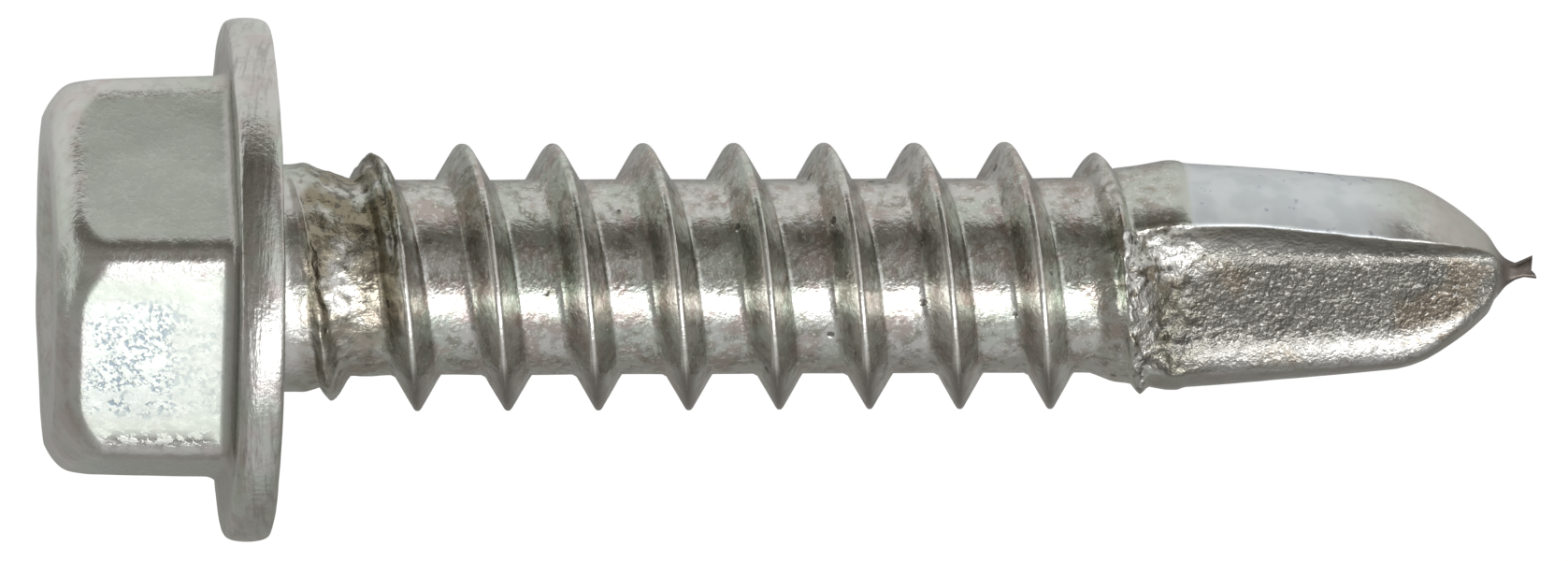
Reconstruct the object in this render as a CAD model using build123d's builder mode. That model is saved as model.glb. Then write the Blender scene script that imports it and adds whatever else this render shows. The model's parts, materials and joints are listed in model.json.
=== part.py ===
from build123d import *
import math
import os

# Self drilling screw with a hexagon washer head: one piece of wire, cold headed, thread rolled
# and pinch pointed.  Millimetres.  It is drawn upright on +Z, point up and bearing face at Z = 0,
# and then laid down as it comes to rest: on the rim of its flange and on its last thread, at
# Z = 0 and with its point towards +X.  Angles go round the screw from the middle of one flute,
# which faces straight up when the screw lies.

# Lengths
point_length = 24.95  # bearing face to the point, without its flash
drill_length = 7.95  # of which the wire left unrolled for the drill point

# Hexagon
head_height = 4.45  # bearing face to the top of the hexagon, flange included
across_flats = 7.75
head_draft = 1.4  # degrees that each flat leans in towards the top
corner_angle = -26
corner_rounding = 0.7  # upright edges, not filled sharp by the forging
top_rounding = 0.6
foot_rounding = 0.3  # between the flats and the flange
dish_diameter = 4.8  # shallow dish left in the top by the heading punch
dish_depth = 0.3
dish_wall = 45  # degrees

# Washer flange
flange_diameter = 10.4
rim_thickness = 0.88
rim_crown = 0.18  # how far the middle of the rim stands out past its edges

# Shank
neck_diameter = 4.54
neck_length = 0.85
underhead_rounding = 0.3
root_diameter = 3.9
root_start = 1.7  # the rolled root reaches its full depth here
root_end_gap = 0.4  # and keeps it until this far before the unrolled wire

# Thread
thread_pitch = 1.814
thread_diameter = 5.34
thread_angle = 60
crest_width = 0.1
thread_start = 0.45
thread_start_angle = -74
thread_end_turn = 0.43  # the ridge ends this share of a turn on from the angle where it starts
thread_overrun = 0.6  # and no further than this beyond the start of the unrolled wire
thread_sink = 0.15  # depth of the ridge's foot inside the root
low_start_diameter = 4.7  # the first turns are not rolled to their full height
low_turn_diameter = 4.98
low_turn_end = 2.0
full_start = 2.8
full_end_gap = 1.3  # the ridge is full until this far before the unrolled wire
low_end_gap = 0.9  # and low again from here, on its last turn
low_end_diameter = 5.06
low_end_taper = 4  # degrees

# Drill point
collar_diameter = 4.28
swell_rise = 1.0  # from the collar's start to the metal that the flutes' ends push out
swell_diameter = 4.58
swell_fall = 0.6
land_diameter = 4.4
nose_length = 2.25
shoulder_diameter = 3.84
nose_radius = 4.4  # the lands run in to the point along this arc
point_flat = 0.4  # diameter of the blunt end
flute_lead = 0.15  # from the collar's start to the flutes
flute_end_slope = 45  # degrees between the flute's end wall and the axis
flute_end_rounding = 0.5
cutting_face_angle = -46  # each cutting face lies along a radius
heel_face_angle = 68
half_web = 1.4  # from the axis to the heel face, where the flute starts
floor_rounding = 0.5
web_taper = 6.4  # degrees that the flute runs in towards the axis
flute_count = 2

# Flash squeezed out where the pinching dies met
flash_reach = 0.55
flash_root = 0.7
flash_neck = 0.3
flash_width = 0.56
flash_notch = 0.14
flash_thickness = 0.14
flash_angle = -110

merge = 0.1  # how far pieces of the one body reach into each other

flange_radius = flange_diameter / 2
neck_radius = neck_diameter / 2
root_radius = root_diameter / 2
thread_radius = thread_diameter / 2

# Stations along the axis, from the bearing face: what belongs to the drill point keeps its
# distance from the point when the screw is made longer, and the thread fills what is left.
collar_start = point_length - drill_length
root_end = collar_start - root_end_gap
full_end = collar_start - full_end_gap
low_end_start = collar_start - low_end_gap
turns_room = (collar_start + thread_overrun - thread_start) / thread_pitch
thread_turns = math.floor(turns_room - thread_end_turn) + thread_end_turn
thread_end = thread_start + thread_turns * thread_pitch
flute_start = collar_start + flute_lead
swell_station = collar_start + swell_rise
land_start = swell_station + swell_fall
shoulder_station = point_length - nose_length

# The thread's last turn that faces down when the screw lies
turns_to_down = ((180 - thread_start_angle) / 360) % 1
rest_station = thread_start + (math.floor(thread_turns - turns_to_down) + turns_to_down) * thread_pitch


def low_end_radius(station):
    """The crest's radius on the last turn, which tapers towards the point."""
    return low_end_diameter / 2 - (station - low_end_start) * math.tan(math.radians(low_end_taper))


def polar(radius, angle):
    """A point in the plane across the screw."""
    return Vector(radius, 0).rotate(Axis.Z, angle)


# Flange and neck, turned about the axis
rim_edge_radius = flange_radius - rim_crown
with BuildPart() as washer:
    with BuildSketch(Plane.XZ):
        with BuildLine():
            Line((0, -rim_thickness), (rim_edge_radius, -rim_thickness))
            ThreePointArc(
                (rim_edge_radius, -rim_thickness),
                (flange_radius, -rim_thickness / 2),
                (rim_edge_radius, 0),
            )
            Line((rim_edge_radius, 0), (neck_radius + underhead_rounding, 0))
            Bezier((neck_radius + underhead_rounding, 0), (neck_radius, 0), (neck_radius, underhead_rounding))
            Polyline(
                (neck_radius, underhead_rounding),
                (neck_radius, neck_length),
                (root_radius - merge, root_start + merge),
                (0, root_start + merge),
                (0, -rim_thickness),
            )
        make_face()
    revolve(axis=Axis.Z)

# Hexagon, forged with a draft, full corners and a shallow dish in its top
hexagon_radius = across_flats / 2
with BuildPart() as hexagon:
    with BuildSketch(Plane.XY.offset(merge - rim_thickness)):
        RegularPolygon(hexagon_radius, 6, major_radius=False, rotation=corner_angle)
    extrude(amount=rim_thickness - merge - head_height, taper=head_draft)
    fillet(hexagon.edges().filter_by(lambda edge: abs(edge.tangent_at(0.5).Z) > 0.9), corner_rounding)
    fillet(hexagon.faces().sort_by(Axis.Z)[0].edges(), top_rounding)
    with BuildSketch(Plane.XY.offset(-head_height)):
        Circle(dish_diameter / 2)
    extrude(amount=dish_depth, taper=dish_wall, mode=Mode.SUBTRACT)

with BuildPart() as head:
    add(washer.part)
    add(hexagon.part)
    fillet(head.edges(Select.NEW), foot_rounding)

# Thread: one ridge of even height, swept along a helix
ridge_height = thread_radius - root_radius
flank = math.tan(math.radians(thread_angle / 2))
half_foot = crest_width / 2 + (ridge_height + thread_sink) * flank
with BuildPart() as thread:
    with BuildLine(Plane.XY.offset(thread_start)) as helix:
        Helix(pitch=thread_pitch, height=thread_turns * thread_pitch, radius=root_radius)
    with BuildSketch(Plane.XZ):
        with BuildLine():
            Polyline(
                (root_radius - thread_sink, thread_start - half_foot),
                (thread_radius, thread_start - crest_width / 2),
                (thread_radius, thread_start + crest_width / 2),
                (root_radius - thread_sink, thread_start + half_foot),
                close=True,
            )
        make_face()
    sweep(path=helix.wire(), is_frenet=True)

# What the rolling left unfilled: the ridge is lower at both of its ends.
clear_radius = thread_radius + merge
with BuildPart() as unfilled:
    with BuildSketch(Plane.XZ):
        with BuildLine():
            Polyline(
                (clear_radius, thread_start - half_foot),
                (low_start_diameter / 2, thread_start - half_foot),
                (low_turn_diameter / 2, low_turn_end),
                (clear_radius, full_start),
                close=True,
            )
        make_face()
        with BuildLine():
            Polyline(
                (clear_radius, full_end),
                (low_end_radius(low_end_start), low_end_start),
                (low_end_radius(thread_end + half_foot), thread_end + half_foot),
                (clear_radius, thread_end + half_foot),
                close=True,
            )
        make_face()
    revolve(axis=Axis.Z)

# Point, turned: a collar, the swell at the flutes' ends, the lands and their ogive nose
point_start = root_end - merge
with BuildPart() as point:
    with BuildSketch(Plane.XZ):
        with BuildLine():
            Polyline(
                (0, point_start),
                (root_radius - merge, point_start),
                (collar_diameter / 2, collar_start),
                (swell_diameter / 2, swell_station),
                (land_diameter / 2, land_start),
                (shoulder_diameter / 2, shoulder_station),
            )
            RadiusArc(
                (shoulder_diameter / 2, shoulder_station),
                (point_flat / 2, point_length),
                -nose_radius,
            )
            Polyline((point_flat / 2, point_length), (0, point_length), (0, point_start))
        make_face()
    revolve(axis=Axis.Z)

# Flute: a groove with its cutting face along a radius and its heel face clear of the web
apex_radius = half_web / math.sin(math.radians(heel_face_angle - cutting_face_angle))
apex = polar(apex_radius, cutting_face_angle)
cutting_edge = polar(thread_diameter, cutting_face_angle)
heel_edge = apex + polar(thread_diameter, heel_face_angle)
end_slope = math.radians(flute_end_slope)
end_wall = Plane(
    origin=(collar_diameter / 2, 0, flute_start),
    z_dir=(math.cos(end_slope), 0, math.sin(end_slope)),
)
with BuildPart() as flute:
    with BuildSketch(Plane.XY.offset(flute_start)):
        with BuildLine():
            FilletPolyline(cutting_edge, apex, heel_edge, radius=floor_rounding)
            Line(heel_edge, cutting_edge)
        make_face()
    extrude(
        amount=point_length + flash_reach - flute_start,
        dir=Vector(0, 0, 1) - polar(math.tan(math.radians(web_taper)), cutting_face_angle),
    )
    split(bisect_by=end_wall, keep=Keep.TOP)
    end_edges = flute.faces().filter_by(end_wall).sort_by(Axis.Z)[0].edges()
    fillet(end_edges.sort_by(Axis.X)[:-1], flute_end_rounding)

# Flash: a thin fishtail in the plane where the dies met
flash_plane = Plane(
    origin=(0, 0, point_length),
    x_dir=polar(1, flash_angle),
    z_dir=polar(1, flash_angle - 90),
)
with BuildPart() as flash:
    with BuildSketch(flash_plane):
        with BuildLine():
            Polyline(
                (flash_neck / 2, -flash_root),
                (flash_neck / 2, 0),
                (flash_width / 2, flash_reach),
                (0, flash_reach - flash_notch),
                (-flash_width / 2, flash_reach),
                (-flash_neck / 2, 0),
                (-flash_neck / 2, -flash_root),
                close=True,
            )
        make_face()
    extrude(amount=flash_thickness / 2, both=True)

# The rolled stretch comes first, then what stands at its two ends.
with BuildPart() as upright:
    with BuildSketch(Plane.XY.offset(neck_length)):
        Circle(root_radius)
    extrude(amount=swell_station - neck_length)
    add(thread.part, rotation=(0, 0, thread_start_angle))
    add(unfilled.part, mode=Mode.SUBTRACT)
    add(head.part)
    add(point.part)
    for turn in range(flute_count):
        add(flute.part, rotation=(0, 0, 360 / flute_count * turn), mode=Mode.SUBTRACT)
    add(flash.part)

# Laid down: a straight line touches the arc of the rim and the low crest that faces down.
rest_radius = low_end_radius(rest_station)
rim_arc_radius = ((rim_thickness / 2) ** 2 + rim_crown**2) / (2 * rim_crown)
rim_run = rest_station + rim_thickness / 2
rim_rise = flange_radius - rim_arc_radius - rest_radius
lie_angle = math.atan2(rim_rise, rim_run) + math.asin(rim_arc_radius / math.hypot(rim_run, rim_rise))
lie_cos = math.cos(lie_angle)
lie_sin = math.sin(lie_angle)
head_reach = head_height * lie_cos + hexagon_radius * lie_sin
point_reach = (point_length + flash_reach) * lie_cos
lying = Plane(
    origin=(
        (head_reach - point_reach) / 2,
        0,
        rest_radius * lie_cos + rest_station * lie_sin,
    ),
    x_dir=(lie_sin, 0, lie_cos),
    z_dir=(lie_cos, 0, -lie_sin),
)
with BuildPart(lying) as screw:
    add(upright.part)

os.makedirs("parts", exist_ok=True)
screw.part.label = "screw"
export_step(screw.part, "parts/screw.step")
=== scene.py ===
import json
import math

import bpy
import numpy as np
from mathutils import Matrix, Vector


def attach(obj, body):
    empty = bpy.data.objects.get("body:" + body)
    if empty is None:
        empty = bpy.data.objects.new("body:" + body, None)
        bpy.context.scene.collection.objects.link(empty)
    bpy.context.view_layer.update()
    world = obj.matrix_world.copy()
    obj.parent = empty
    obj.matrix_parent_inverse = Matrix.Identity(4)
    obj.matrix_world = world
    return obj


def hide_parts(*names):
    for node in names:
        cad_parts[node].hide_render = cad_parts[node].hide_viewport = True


# A self drilling screw, lying on the rim of its flange and on its last thread.  It is one piece of
# zinc plated steel.  The surface is worked out in millimetres in the screw's own frame: station
# along the axis from the bearing face towards the point, and an angle round the axis in degrees,
# 0 where one flute faces up.  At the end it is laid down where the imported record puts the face.

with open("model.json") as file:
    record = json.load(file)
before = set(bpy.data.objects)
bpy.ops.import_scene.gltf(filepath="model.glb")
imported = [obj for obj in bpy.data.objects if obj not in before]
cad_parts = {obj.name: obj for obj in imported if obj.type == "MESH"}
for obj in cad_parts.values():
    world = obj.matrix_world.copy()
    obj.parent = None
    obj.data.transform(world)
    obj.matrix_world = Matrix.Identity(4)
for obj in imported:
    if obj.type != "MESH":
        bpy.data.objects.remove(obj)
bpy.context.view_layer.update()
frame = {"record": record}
print("frame loaded")


# Small helpers on whole arrays

def smoothStep(low, high, value):
    # 3t^2 - 2t^3, where t runs from 0 at low to 1 at high
    t = np.clip((value - low) / (high - low), 0.0, 1.0)
    return t * t * (3.0 - 2.0 * t)


def plateau(value, span):
    # eased up between the span's first two numbers, times eased down between its last two
    rise, full, fading, end = span
    return smoothStep(rise, full, value) * smoothStep(end, fading, value)


def bell(value, centre, width):
    # exp(-((value - centre) / width)^2)
    return np.exp(-(((value - centre) / width) ** 2))


def turnFrom(angle, centre):
    # degrees from centre, from -180 to 180
    return (angle - centre + 180.0) % 360.0 - 180.0


def bellRound(angle, centre, width):
    # the bell over the degrees from centre
    return bell(turnFrom(angle, centre), 0.0, width)


def softMax(first, second, blend):
    # the larger of two, rounded where they differ by less than blend
    share = np.clip(0.5 + 0.5 * (first - second) / blend, 0.0, 1.0)
    return second + (first - second) * share + blend * share * (1.0 - share)


def softMin(first, second, blend):
    # the smaller of two, -softMax(-first, -second)
    return -softMax(-first, -second, blend)


def latticeNoise(points, size, seed):
    # a seeded number from -1 to 1 at each corner of a lattice with that cell size, eased between
    # the corners by 3t^2 - 2t^3
    side = 48
    shift = 500.0  # keeps the cells' numbers above 0
    table = np.random.default_rng(seed).uniform(-1.0, 1.0, (side, side, side))
    cells = points / size + shift
    corner = np.floor(cells).astype(int)
    t = cells - corner
    t = t * t * (3.0 - 2.0 * t)
    total = np.zeros(points.shape[:-1])
    for step in np.ndindex(2, 2, 2):
        near = np.abs(1 - np.array(step) - t).prod(axis=-1)
        place = (corner + step) % side
        total += near * table[place[..., 0], place[..., 1], place[..., 2]]
    return total


def fractalNoise(points, size, seed, octaves=3):
    # lattice noise, plus the same at half the size and half the height, and so on
    total = np.zeros(points.shape[:-1])
    for octave in range(octaves):
        total += latticeNoise(points, size / 2**octave, seed + octave) / 2**octave
    return total


# Stem: neck, thread, collar and drill point

stem = {
    "underheadRounding": 0.3,
    "pitch": 1.814,
    "flankSlope": 1.732,  # height gained for each millimetre towards the crest
    "footRounding": 0.16,
    "ridgeStation": 0.45,  # the helix passes here at ridgeAngle
    "ridgeAngle": -74.0,
    "ridgeSpan": (-95.0, -55.0, 3300.0, 3322.0),  # it starts, is full, fades and ends at these
    "profileEasing": 0.06,
    "profileStations": (
        0.0, 0.75, 1.65, 16.5, 16.95, 17.4, 18.02, 18.26, 18.36, 19.4, 20.1, 21.0, 21.9, 22.66,
    ),
    "profileRadii": (
        2.27, 2.27, 1.95, 1.95, 2.14, 2.19, 2.3, 2.3, 2.245, 2.175, 2.125, 2.05, 1.97, 1.9,
    ),
    "noseStations": (22.96, 23.26, 23.56, 23.86, 24.16, 24.46, 24.76, 24.95),
    "noseRadii": (1.83, 1.71, 1.54, 1.34, 1.12, 0.85, 0.51, 0.28),
    "crestStations": (0.0, 1.3, 2.1, 2.9, 15.7, 16.2, 17.6),
    "crestRadii": (2.33, 2.5, 2.52, 2.67, 2.67, 2.5, 2.44),
    "fullCrest": 2.67,
    "crestFlat": 0.05,
    "crestRounding": 0.06,
    "lowCrestRounding": 0.2,  # where the rolling left the crest low it is also blunt
    "lowCrest": (0.02, 0.17),  # blunt from this far below the full crest, and wholly from this
    "startWander": 0.1,  # the first half turn of the ridge strays this far along the axis
    "wanderAngle": 75.0,
    "wanderWidth": 60.0,
    "neckFlat": 0.05,  # a shallow flat pressed into the neck, on the side of neckFlatAngle
    "neckFlatAngle": -6.0,
    "neckFlatWidth": 20.0,
    "neckFlatSpan": (0.05, 0.3, 0.7, 1.0),
    "lapSpan": (215.0, 240.0, 320.0, 345.0),  # a lap folded into the first ridge, along the helix
    "lapOffset": -0.11,
    "lapWidth": 0.05,
    "lapDepth": 0.14,
}

flutes = {
    "start": 17.1,
    "startRun": (-0.3, 0.1),  # the cut comes in from this far before its start to this far past it
    "startSlant": 0.13,  # the end wall stands this much further along for each millimetre across
    "slantFrom": -0.6,
    "endRadius": 2.2,
    "endSlope": 1.0,
    "endRounding": 0.3,
    "floorAngle": 68.0,
    "floorStations": (17.0, 19.4, 21.0, 22.7, 23.86, 24.46, 25.0),
    "floorDepths": (1.46, 1.19, 1.035, 0.84, 0.78, 0.6, 0.45),  # from the axis to the floor
    "wallStations": (19.5, 22.4, 23.9),
    "wallAngles": (-42.0, -27.0, -22.0),
    "corners": (-0.62, -0.52, -0.5),  # from the floor's nearest point, where the wall meets it
    "floorRounding": 0.75,
    "edgeRounding": 0.03,
    "lipRounding": 0.12,
    "lipAcross": 0.5,  # the lip's rounding is full from this far across
    "lipRun": 0.8,  # and from this far past the flute's start
    "lipStart": 0.6,  # from this share of its reach, the floor curves over towards its lip
    "lipCurve": 0.68,
}


def baseRadius(station):
    # straight runs between the profile's stations, eased by a bell of that width; at the head the
    # neck flares by rounding * (1 - sqrt(station / rounding))^2
    stations = stem["profileStations"] + stem["noseStations"]
    radii = stem["profileRadii"] + stem["noseRadii"]
    step, sideSteps = 0.01, 20
    fine = np.arange(-1.0, 27.0, step)
    runs = np.pad(np.interp(fine, stations, radii), sideSteps, mode="edge")
    weights = bell(np.arange(-sideSteps, sideSteps + 1) * step, 0.0, stem["profileEasing"])
    eased = np.convolve(runs, weights / weights.sum(), mode="valid")
    fillet = stem["underheadRounding"]
    near = np.clip(station / fillet, 0.0, 1.0)
    return np.interp(station, fine, eased) + fillet * (1.0 - np.sqrt(near)) ** 2


def ridgePhase(station, angle):
    # the nearest whole turn of the helix leaves the distance from the ridge's middle, and
    # angle + 360 * whole is how far round the ridge that is
    turns = (station - stem["ridgeStation"]) / stem["pitch"]
    turns = turns - (angle - stem["ridgeAngle"]) / 360.0
    whole = np.round(turns)
    return (turns - whole) * stem["pitch"], angle + 360.0 * whole


def ridgeHeight(station, angle):
    # two flanks rising to the crest, full - (offset - flat) * slope, rounded at crest and foot,
    # run out at both ends, less the lap's groove
    offset, along = ridgePhase(station, angle)
    crest = np.interp(station - offset, stem["crestStations"], stem["crestRadii"])
    wander = bell(along, stem["wanderAngle"], stem["wanderWidth"])
    offset = offset - stem["startWander"] * wander
    full = crest - baseRadius(station)
    flank = full - (np.abs(offset) - stem["crestFlat"]) * stem["flankSlope"]
    blunt = smoothStep(*stem["lowCrest"], stem["fullCrest"] - crest)
    blend = stem["crestRounding"] + stem["lowCrestRounding"] * blunt
    height = softMin(full, flank, blend)
    foot = stem["footRounding"]
    height = softMax(height, np.zeros_like(height), foot)
    height = np.maximum(height - foot / 4 * smoothStep(foot, 0.0, height), 0.0)
    lap = bell(offset, stem["lapOffset"], stem["lapWidth"])
    lap = lap * plateau(along, stem["lapSpan"]) * stem["lapDepth"]
    return (height - lap) * plateau(along, stem["ridgeSpan"])


def fluteFloor(across, station):
    # height x of the groove over the line y = across: the floor (depth + y cos a) / sin a, less
    # curve / reach * (y - lip's start)^2 towards the lip, where reach is sqrt(radius^2 - depth^2),
    # the wall from the floor's corner, and the end wall sqrt(radius^2 - y^2) of a cone that falls
    lean = math.radians(flutes["floorAngle"])
    depth = np.interp(station, flutes["floorStations"], flutes["floorDepths"])
    floor = (depth + across * math.cos(lean)) / math.sin(lean)
    reach = np.sqrt(np.maximum(baseRadius(station) ** 2 - depth**2, 0.1))
    lipStart = flutes["lipStart"] * reach * math.sin(lean) - depth * math.cos(lean)
    floor = floor - flutes["lipCurve"] / reach * np.maximum(across - lipStart, 0.0) ** 2
    corner = np.interp(station, flutes["wallStations"], flutes["corners"])
    cornerX = depth * math.sin(lean) + corner * math.cos(lean)
    cornerY = -depth * math.cos(lean) + corner * math.sin(lean)
    wallAngle = np.interp(station, flutes["wallStations"], flutes["wallAngles"])
    wall = cornerX + (across - cornerY) / np.tan(np.radians(wallAngle))
    groove = softMax(wall, floor, flutes["floorRounding"])
    start = flutes["start"] + flutes["startSlant"] * (across - flutes["slantFrom"])
    cone = np.maximum(flutes["endRadius"] - (station - start) / flutes["endSlope"], 0.0)
    end = np.sqrt(np.maximum(cone**2 - across**2, 0.0))
    return softMax(groove, end, flutes["endRounding"])


def stemSection(station, angle):
    # the round section with its ridge, then each flute cut straight down along x; the cut has a
    # sharp edge where its wall meets the land and a full round lip where its floor does
    flat = bellRound(angle, stem["neckFlatAngle"], stem["neckFlatWidth"])
    flat = flat * plateau(station, stem["neckFlatSpan"])
    radius = baseRadius(station) - stem["neckFlat"] * flat + ridgeHeight(station, angle)
    turn = np.radians(angle)
    x = radius * np.cos(turn)
    y = radius * np.sin(turn)
    past = station - flutes["start"]
    share = smoothStep(*flutes["startRun"], past)
    cutDepth = np.zeros_like(x)
    sharp = flutes["edgeRounding"]
    for side in (1.0, -1.0):
        floor = fluteFloor(side * y, station)
        lip = smoothStep(0.0, flutes["lipAcross"], side * y)
        lip = lip * smoothStep(0.0, flutes["lipRun"], past)
        cut = softMin(side * x, floor, sharp + (flutes["lipRounding"] - sharp) * lip)
        facing = side * x > 0
        cutDepth = np.maximum(cutDepth, (side * x - cut) * share * facing)
        x = np.where(facing, x + (side * cut - x) * share, x)
    return x, y, cutDepth


# Grid.  The strip winds round the stem with its rows along the helix.  Its last row in one turn is
# its first row in the next, so each turn shifts the seam by pitchRows rows.

grid = {
    "startAngle": -95.0,
    "turns": 9,
    "lastColumns": 86,  # columns past the last whole turn
    "segments": (  # from, to and columns: they crowd where the flutes are cut
        (-95.0, -44.0, 22), (-44.0, 45.0, 48), (45.0, 136.0, 40), (136.0, 225.0, 48),
        (225.0, 265.0, 18),
    ),
    "pointSegments": (  # the same on the drill point, but for the land where the strip ends
        (136.0, 225.0, 48), (225.0, 316.0, 40), (316.0, 405.0, 48),
    ),
    "landColumns": (24, 16),  # that land's columns before these segments, and after them
    "rowShares": (  # rows across one pitch, as shares of it from the ridge's middle
        -0.15, -0.11, -0.08, -0.058, -0.04, -0.025, -0.012, 0.0, 0.012, 0.025, 0.045, 0.07, 0.10,
        0.14, 0.18, 0.22, 0.26, 0.31, 0.37, 0.44, 0.51, 0.58, 0.65, 0.71, 0.76, 0.81,
    ),
    "lastRow": 13,
    "neckRows": 24,
    "neckCrowding": 1.8,  # power by which those rows crowd towards the head
    "collarRows": 18,
    "collarEnd": 18.45,
    "drillStep": 0.085,
    "tipStart": 24.2,  # from here to the drill's end, rows are tipStep apart
    "tipStep": 0.05,
    "drillEnd": 24.93,
}


def helixStation(angle):
    # the ridge's middle: station + (angle - ridge's angle) / 360 * pitch
    return stem["ridgeStation"] + (angle - stem["ridgeAngle"]) / 360.0 * stem["pitch"]


def quadsBetween(index):
    # the four corners of every cell of a grid of vertex numbers, without the cells that lack one
    cells = np.stack([index[:-1, :-1], index[:-1, 1:], index[1:, 1:], index[1:, :-1]], axis=-1)
    cells = cells.reshape(-1, 4)
    return cells[(cells >= 0).all(axis=1)]


turnAngles = np.concatenate(
    [np.linspace(low, high, count, endpoint=False) for low, high, count in grid["segments"]]
)
turnColumns = len(turnAngles)
pitchRows = len(grid["rowShares"])
ringColumns = turnColumns + pitchRows
lastRow = grid["lastRow"]
stripColumns = grid["turns"] * turnColumns + grid["lastColumns"]
columns = np.arange(stripColumns + 1)
columnAngle = turnAngles[columns % turnColumns] + 360.0 * (columns // turnColumns)
shares = np.array(grid["rowShares"])[:, None]
stripAngle = np.broadcast_to(columnAngle, (pitchRows, stripColumns + 1))
stripStation = helixStation(stripAngle) + shares * stem["pitch"]
tail = stripColumns - turnColumns
kept = (columns <= tail)[None, :] | (np.arange(pitchRows)[:, None] <= lastRow)
stripIndex = np.full((pitchRows + 1, stripColumns + 1), -1)
stripIndex[:pitchRows][kept] = np.arange(kept.sum())
stripIndex[pitchRows, : tail + 1] = stripIndex[0, turnColumns:]
stripStation = stripStation[kept]
stripAngle = stripAngle[kept]

# Loops round the strip's two ends: once round along a row, then down the step
startLoop = np.concatenate([stripIndex[0, :turnColumns], stripIndex[pitchRows:0:-1, 0]])
endLoop = np.concatenate(
    [
        stripIndex[lastRow, tail:stripColumns],
        stripIndex[lastRow:0:-1, stripColumns],
        stripIndex[pitchRows:lastRow:-1, tail],
    ]
)


def loopAngle(loop, turns):
    # the angle along a loop, rising once round from its first vertex
    angle = stripAngle[loop] - 360.0 * turns
    angle[turnColumns:] = angle[0] + 360.0
    return angle


startAngle = loopAngle(startLoop, 0)
endAngle = loopAngle(endLoop, grid["turns"] - 1)
ringShare = (np.arange(ringColumns) + pitchRows / 2) / ringColumns
startRingAngle = grid["startAngle"] + 360.0 * ringShare


def endRing():
    # the drill point's columns are the strip's, but the land where the strip ends is shared evenly
    # between its own columns and the step's: (360 - the segments' width) / their number each
    segments = grid["pointSegments"]
    low, high = segments[0][0], segments[-1][1]
    before, after = grid["landColumns"]
    after = after + pitchRows
    land = (360.0 - (high - low)) / (before + after)
    angles = [low - before * land + land * np.arange(before)]
    angles += [np.linspace(start, end, count, endpoint=False) for start, end, count in segments]
    angles += [high + land * np.arange(after)]
    return np.concatenate(angles)


endRingAngle = endRing()


def rowsBetween(shares, first, last):
    # first * (1 - share) + last * share, a row for each share
    return first * (1.0 - shares[:, None]) + last * shares[:, None]


neckShares = (np.arange(grid["neckRows"]) / grid["neckRows"]) ** grid["neckCrowding"]
neckStation = neckShares[:, None] * stripStation[startLoop]
neckAngle = rowsBetween(neckShares, startRingAngle, startAngle)
collarShares = np.arange(1, grid["collarRows"] + 1) / grid["collarRows"]
collarEnd = np.full(ringColumns, grid["collarEnd"])
collarStation = rowsBetween(collarShares, stripStation[endLoop], collarEnd)
collarAngle = rowsBetween(collarShares, endAngle, endRingAngle)
drillStep, tipStart = grid["drillStep"], grid["tipStart"]
drillStations = np.arange(grid["collarEnd"] + drillStep, tipStart, drillStep)
tipStations = np.arange(tipStart, grid["drillEnd"], grid["tipStep"])
drillStations = np.concatenate([drillStations, tipStations])
drillStation, drillAngle = np.meshgrid(drillStations, endRingAngle, indexing="ij")
print("stem grid:", pitchRows, "rows by", stripColumns, "columns, rings of", ringColumns)


# Flash: the fishtail where the pinching dies met

fishtail = {
    "angle": -110.0,
    "blendStart": 24.5,  # the point starts to turn into the flash here, and has at its start
    "start": 24.96,
    "end": 25.5,
    "rows": 16,
    "stations": (24.3, 24.95, 25.08, 25.25, 25.5),
    "upper": (0.6, 0.27, 0.22, 0.28, 0.37),  # reach towards the flash's angle
    "lower": (0.6, 0.2, 0.12, 0.07, 0.1),
    "thickness": (0.5, 0.19, 0.15, 0.14, 0.13),
    "alongPower": 0.6,  # powers below 1 square the section off
    "acrossPower": 0.8,
    "notch": 0.04,  # how far the end's middle is cut back, and its upper tail
    "upperCut": 0.08,
    "cutCurve": 1.5,
    "endDent": 0.05,
}


def flashSection(station, angle):
    # a rounded bar: sign(cos t) |cos t|^power times the reach along the flash's plane, and
    # sign(sin t) |sin t|^power times the half thickness across it
    turn = np.radians(angle - fishtail["angle"])
    upper, lower, thickness = (
        np.interp(station, fishtail["stations"], fishtail[name])
        for name in ("upper", "lower", "thickness")
    )
    along = np.sign(np.cos(turn)) * np.abs(np.cos(turn)) ** fishtail["alongPower"]
    along = along * np.where(along > 0, upper, lower)
    thick = np.sign(np.sin(turn)) * np.abs(np.sin(turn)) ** fishtail["acrossPower"] * thickness
    direction = math.radians(fishtail["angle"])
    x = along * math.cos(direction) - thick * math.sin(direction)
    y = along * math.sin(direction) + thick * math.cos(direction)
    return x, y


flashStations = np.linspace(fishtail["start"], fishtail["end"], fishtail["rows"])
flashStation, flashAngle = np.meshgrid(flashStations, endRingAngle, indexing="ij")


# Head: a hexagon with a shallow dish, and a washer flange

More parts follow.
